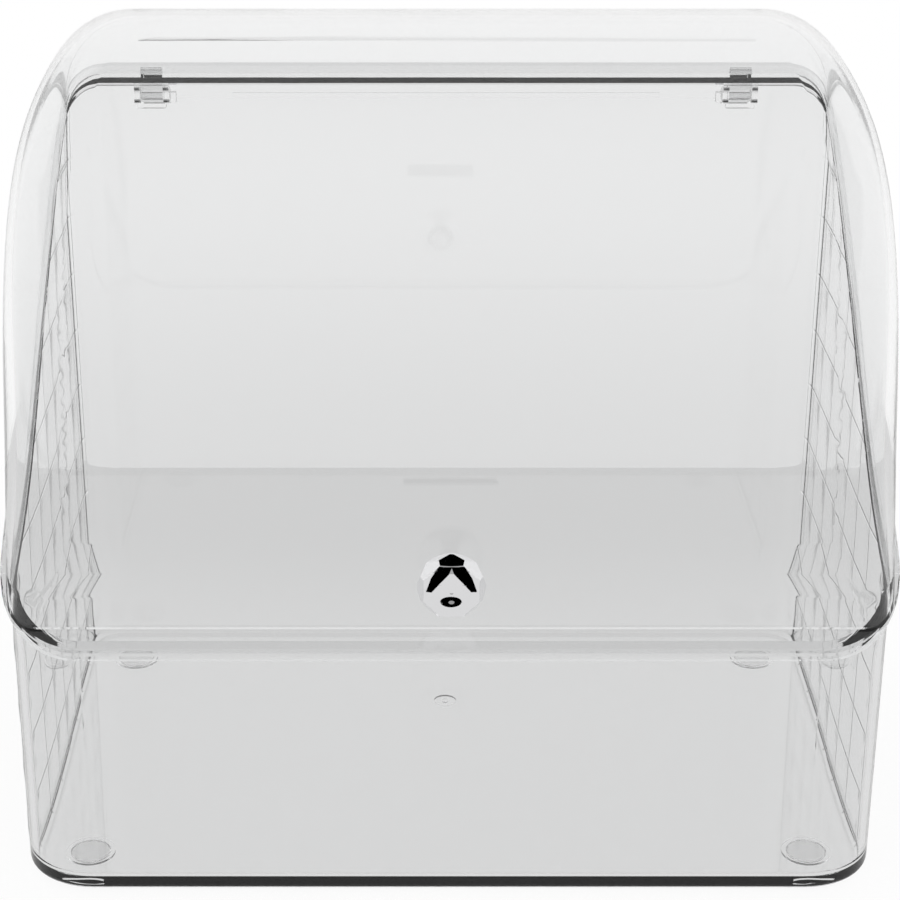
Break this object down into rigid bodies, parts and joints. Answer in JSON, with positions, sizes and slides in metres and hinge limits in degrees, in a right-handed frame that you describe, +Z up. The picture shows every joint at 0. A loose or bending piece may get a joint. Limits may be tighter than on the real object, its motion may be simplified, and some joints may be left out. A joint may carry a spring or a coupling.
{
  "type": "domed makeup organizer",
  "caption": "Clear countertop makeup box with a slanted rim, quilted side walls, a domed lid hinged at the top rear edge and a faceted pull knob.",
  "frame": {"origin": "middle of the footprint, knob and hinges included, on the surface that the box stands on", "axes": "+X to the right when facing the front, +Y from the front to the hinges, +Z up"},
  "size_m": [0.3104, 0.2256, 0.2803],
  "materials": {
    "clear_body": "clear, polished",
    "clear_lid": "clear, polished",
    "knob_metal": "mirror-bright facets",
    "screw_steel": "zinc-bright",
    "washer_rubber": "clear, satin",
    "foot_rubber": "clear, satin"
  },
  "bodies": {
    "body": {"body": "clear_body", "foot_pad_front_left": "foot_rubber", "foot_pad_front_right": "foot_rubber", "foot_pad_back_left": "foot_rubber", "foot_pad_back_right": "foot_rubber"},
    "lid": {"lid": "clear_lid", "knob": "knob_metal", "knob_screw": "screw_steel", "knob_washer": "washer_rubber"}
  },
  "joints": [
    {"name": "lid_hinge", "type": "hinge", "parent": "body", "child": "lid", "pos_m": [0, 0.10825, 0.23785], "axis": [-1, 0, 0], "range_deg": [0, 110]}
  ]
}
